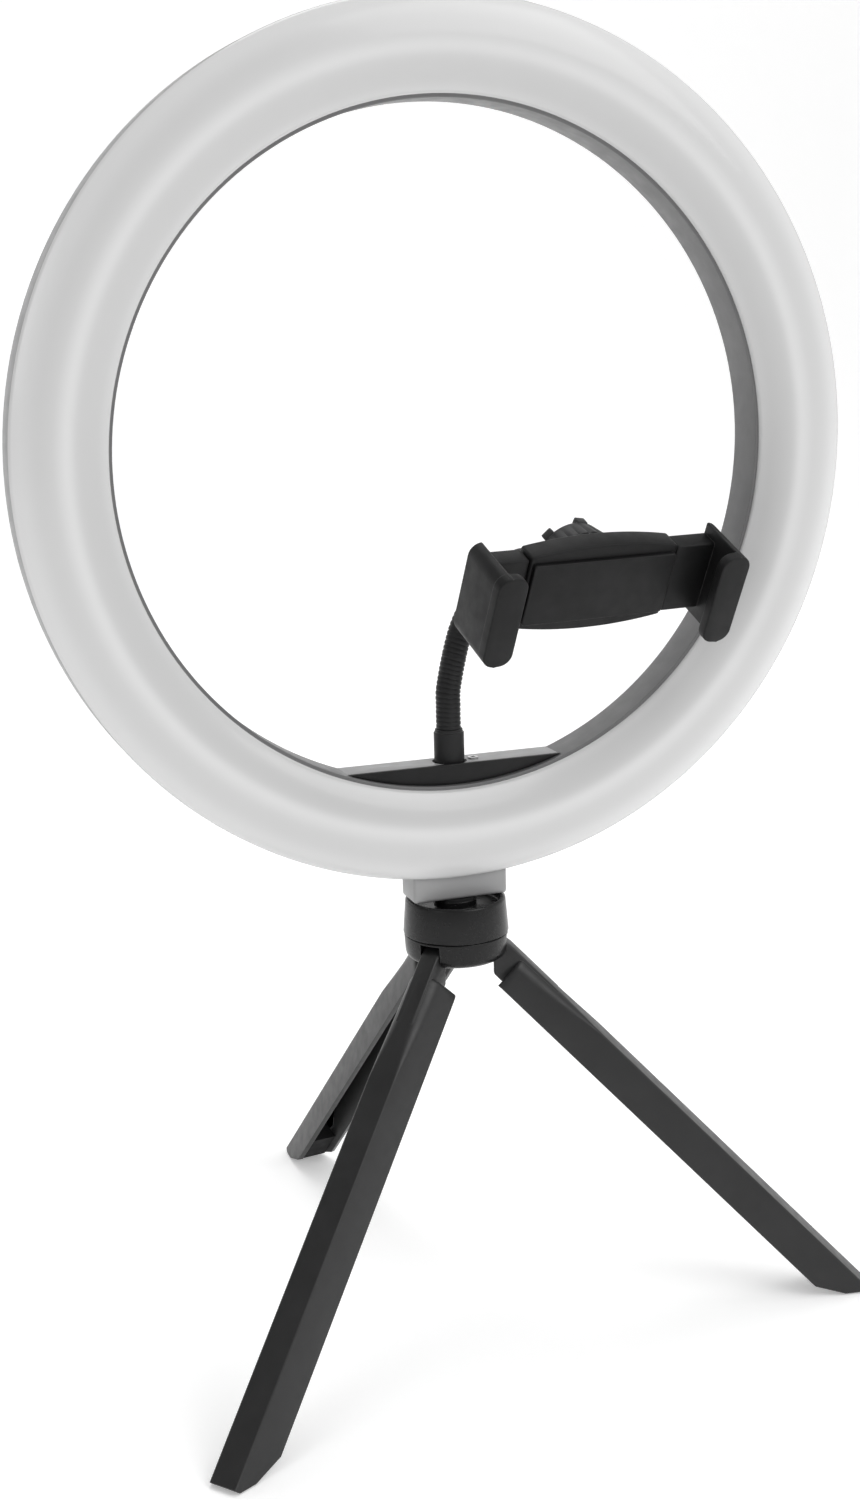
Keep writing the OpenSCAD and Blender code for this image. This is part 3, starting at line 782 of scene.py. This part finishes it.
bm = bmesh.new()
turned(bm, [((3.25, 0, SEAM_Z + 0.15), 0.1), ((HUB_R, 0, SEAM_Z + 0.15), 0.5),
            ((HUB_R - 0.9, 0, SEAM_Z + 11.4), 0.8), ((HUB_R - 2.35, 0, SEAM_Z + 11.4), 0.6),
            ((HUB_R - 2.6, 0, SEAM_Z + 8.6), 0.6), ((6.6, 0, SEAM_Z + 8.6), 0.3), ((6.6, 0, SEAM_Z + 11), 0.3),
            ((3.25, 0, SEAM_Z + 11), 0.2)], (0, 0, 0), (0, 0, 1), steps=120)
finish_piece("stand_cap", bm, hub_black, "stand", "leg_plastic", "hub_cap")

bm = bmesh.new()
turned(bm, [((2.55, 0, 120.4), 0.1), ((4.4, 0, 120.4), 0.1), ((4.4, 0, 116), 0.3), ((15.9, 0, 116), 2.6),
            ((16.35, 0, SEAM_Z), 0.35), ((2.55, 0, SEAM_Z), 0.1)], (0, 0, 0), (0, 0, 1), steps=120)
slots = bmesh.new()
for leg in range(3):
    turn = Matrix.Rotation(math.radians(LEG_START + 120 * leg), 4, "Z")
    add_box(slots, (7.7, -3.45, 110), (27, 3.45, PIN_Z + 3.7), turn)
finish_piece("leg_collar_ring", carve(bm, slots), hub_black, "stand", "leg_plastic", "leg_collar", crease=38)

stand_steel = plated_steel("stand_steel", 0.6, 0.28)
pad_rubber = black_moulding("pad_rubber", 0.014, 0.024, 0.7, 0.85, 0.8, 0.35, 0.03)
refinish(stand_steel, "hub_stud", "leg_pins")
refinish(dark_screw, "collar_screw")
refinish(pad_rubber, "friction_pad")


# ---------- legs ----------
# Three folding legs of black ABS: open channels with a flat outer face and splayed sides, hinged in the collar.
# Their shoulders are softly rounded and sharpen into a ridge; each tip is cut level, with a bevelled heel, on a pad.

LEG_SPREAD = math.radians(44)
LEG_OUT = 4.1
LEG_DEEP = 11
LEG_HALF = 4.5
LEG_SPLAY = math.tan(math.radians(16))
LEG_LEN = 170.22
FOOT_R = 132.7
FOOT_LEN = 9
TIP_Z = 0.5
HEEL_SLOPE = 1 / 3
LEG_WALL = 1.8
NECK_W = 6.3
SHOULDER_R = 4.2
SHOULDER_TOP = 12
SHOULDER_LEN = 34
RIDGE_SOFT = 0.13

leg_black = black_moulding("leg_black", 0.009, 0.014, 0.36, 0.46, 0.4, 0.12, 0.07, 0.5)
foot_rubber = black_moulding("foot_rubber", 0.01, 0.018, 0.7, 0.85, 0.8, 0.35, 0.03)


def channel(bm):
    """The leg's channel in its own frame: pin at the origin, leg downwards, outer face towards +X."""
    x1 = LEG_OUT - LEG_DEEP
    y1 = LEG_HALF + LEG_DEEP * LEG_SPLAY
    ridges = (Vector((LEG_OUT, -LEG_HALF, 0)), Vector((LEG_OUT, LEG_HALF, 0)))
    corners = [bm.verts.new(point) for point in ((x1, -y1, 0), ridges[0], ridges[1], (x1, y1, 0))]
    face = bm.faces.new(corners)
    free = next(e for e in face.edges if abs(e.verts[0].co.x - x1) < 0.01 and abs(e.verts[1].co.x - x1) < 0.01)
    for vert in corners[1:3]:
        corner_round(bm, vert, SHOULDER_R, 10)
    bmesh.ops.delete(bm, geom=bm.faces[:], context="FACES_ONLY")
    bmesh.ops.delete(bm, geom=[free], context="EDGES")
    row = bm.verts[:]
    edges = bm.edges[:]
    nearer = [min(ridges, key=lambda r: (r - v.co).length) for v in row]
    shape = [(v.co.copy(), ridge, (v.co - ridge).length < SHOULDER_R + 0.1) for v, ridge in zip(row, nearer)]
    stations = [9.5, 9.9, 10.6, 12, 16, 20, 24, 28, 32, 36, 40, 44, 52, 80, 110, 140, LEG_LEN - 2.5]
    for i, down in enumerate(stations):
        if i:
            grown = bmesh.ops.extrude_edge_only(bm, edges=edges)["geom"]
            row = verts_of(grown)
            edges = [e for e in grown if isinstance(e, bmesh.types.BMEdge) and all(v in row for v in e.verts)]
        soft = max(RIDGE_SOFT, 1 - (max(0.0, down - SHOULDER_TOP) / SHOULDER_LEN) ** 1.5)
        pinch = (0.90, 0.96, 0.99)[i] if i < 3 else 1.0
        for v, (flat, ridge, near) in zip(row, shape):
            spot = ridge.lerp(flat, soft) if near else flat
            v.co = Vector((spot.x - (1 - pinch) * 3, spot.y * pinch, -down))


for leg, name in enumerate(("left", "right", "rear")):
    turn = Matrix.Rotation(math.radians(LEG_START + 120 * leg), 4, "Z")
    place = turn @ Matrix.Translation((PIN_RING_R, 0, PIN_Z)) @ Matrix.Rotation(-LEG_SPREAD, 4, "Y")
    bm = bmesh.new()
    channel(bm)
    bmesh.ops.recalc_face_normals(bm, faces=bm.faces)
    outer = max(bm.faces, key=lambda f: f.calc_center_median().x)
    if outer.normal.x < 0:
        bmesh.ops.reverse_faces(bm, faces=bm.faces)
    bmesh.ops.solidify(bm, geom=bm.faces[:], thickness=LEG_WALL)
    ease_edges(bm, 0.5, 3, 60)
    neck = bmesh.new()
    side = [neck.verts.new(corner) for corner in ((-6.4, 0, -22), (-6.4, 0, -6.8), (-3.5, 0, -3.9), (-3.4, 0, 0),
                                                  (-2.4, 0, 2.4), (0, 0, 3.4), (2.4, 0, 2.4),
                                                  (LEG_OUT - 0.7, 0, 0), (LEG_OUT - 0.05, 0, -4),
                                                  (LEG_OUT - 0.05, 0, -26), (LEG_OUT - 2, 0, -26))]
    neck.faces.new(side)
    thicken(neck, (0, NECK_W, 0))
    bmesh.ops.translate(neck, vec=(0, -NECK_W / 2, 0), verts=neck.verts)
    ease_edges(neck, 0.7)
    add_mesh(bm, neck)
    bmesh.ops.transform(bm, matrix=place, verts=bm.verts)
    out = turn.to_3x3() @ Vector((1, 0, 0))
    spot = out * (FOOT_R - FOOT_LEN) + Vector((0, 0, TIP_Z))
    for slope in (0, HEEL_SLOPE):
        away = Vector((0, 0, -1)) - out * slope
        cut = bmesh.ops.bisect_plane(bm, geom=bm.verts[:] + bm.edges[:] + bm.faces[:], plane_co=spot, plane_no=away,
                                     clear_outer=True)
        bmesh.ops.holes_fill(bm, edges=[e for e in cut["geom_cut"] if isinstance(e, bmesh.types.BMEdge)], sides=0)
    finish_piece("folding_leg_" + name, bm, leg_black, "leg_" + name, "leg_plastic", "leg_" + name, crease=32)
    refinish(foot_rubber, "foot_" + name)
